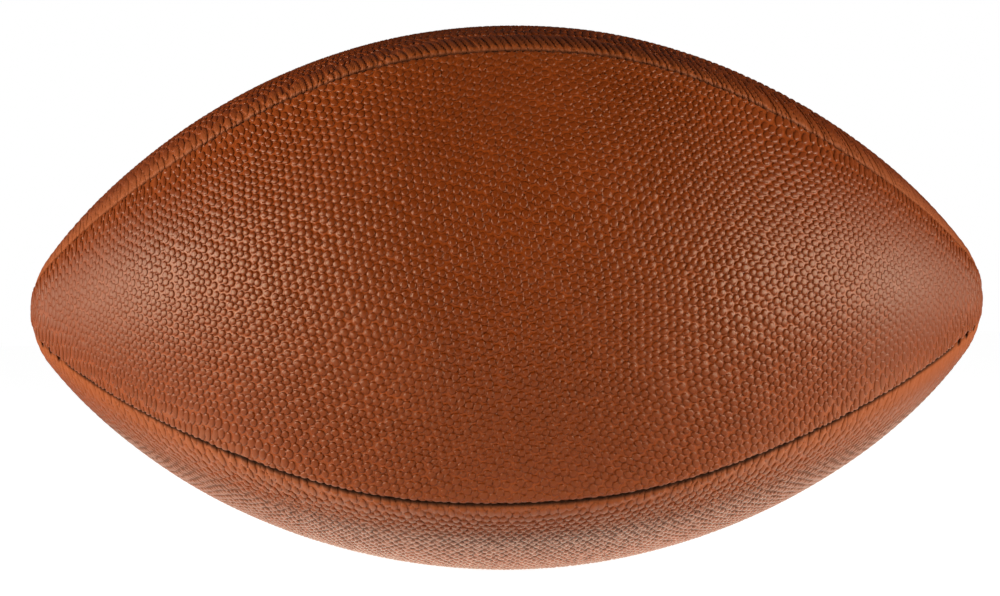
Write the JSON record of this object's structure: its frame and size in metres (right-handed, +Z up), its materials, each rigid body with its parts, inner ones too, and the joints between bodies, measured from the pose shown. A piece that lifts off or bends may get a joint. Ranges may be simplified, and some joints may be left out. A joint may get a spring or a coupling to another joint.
{
  "type": "american football",
  "caption": "Prolate leather ball with pointed ends: pebbled panels stitched edge to edge over a bladder, with a laced opening and an inflation valve.",
  "frame": {"origin": "centre of the ball", "axes": "+X along the long axis, +Z up as the ball lies in the picture, the panel that the picture shows faces -Y"},
  "size_m": [0.2846, 0.1618, 0.1618],
  "materials": {
    "leather": "brown pebbled cowhide with a soft sheen",
    "lining": "unbleached woven cotton",
    "thread": "waxed dark brown thread",
    "facing": "smooth brown leather strip",
    "lace": "off-white flat lace",
    "valve": "black moulded rubber",
    "bladder": "black butyl rubber"
  },
  "bodies": {
    "root": {"front_panel": "leather", "top_panel": "leather", "back_panel": "leather", "bottom_panel": "leather", "front_lining": "lining", "top_lining": "lining", "back_lining": "lining", "bottom_lining": "lining", "front_top_thread": "thread", "top_back_thread": "thread", "back_bottom_thread": "thread", "bottom_front_thread": "thread", "top_lace_facing": "facing", "back_lace_facing": "facing", "lace": "lace", "lace_tongue": "facing", "valve_housing": "valve", "valve_core": "valve", "bladder": "bladder"}
  },
  "joints": []
}
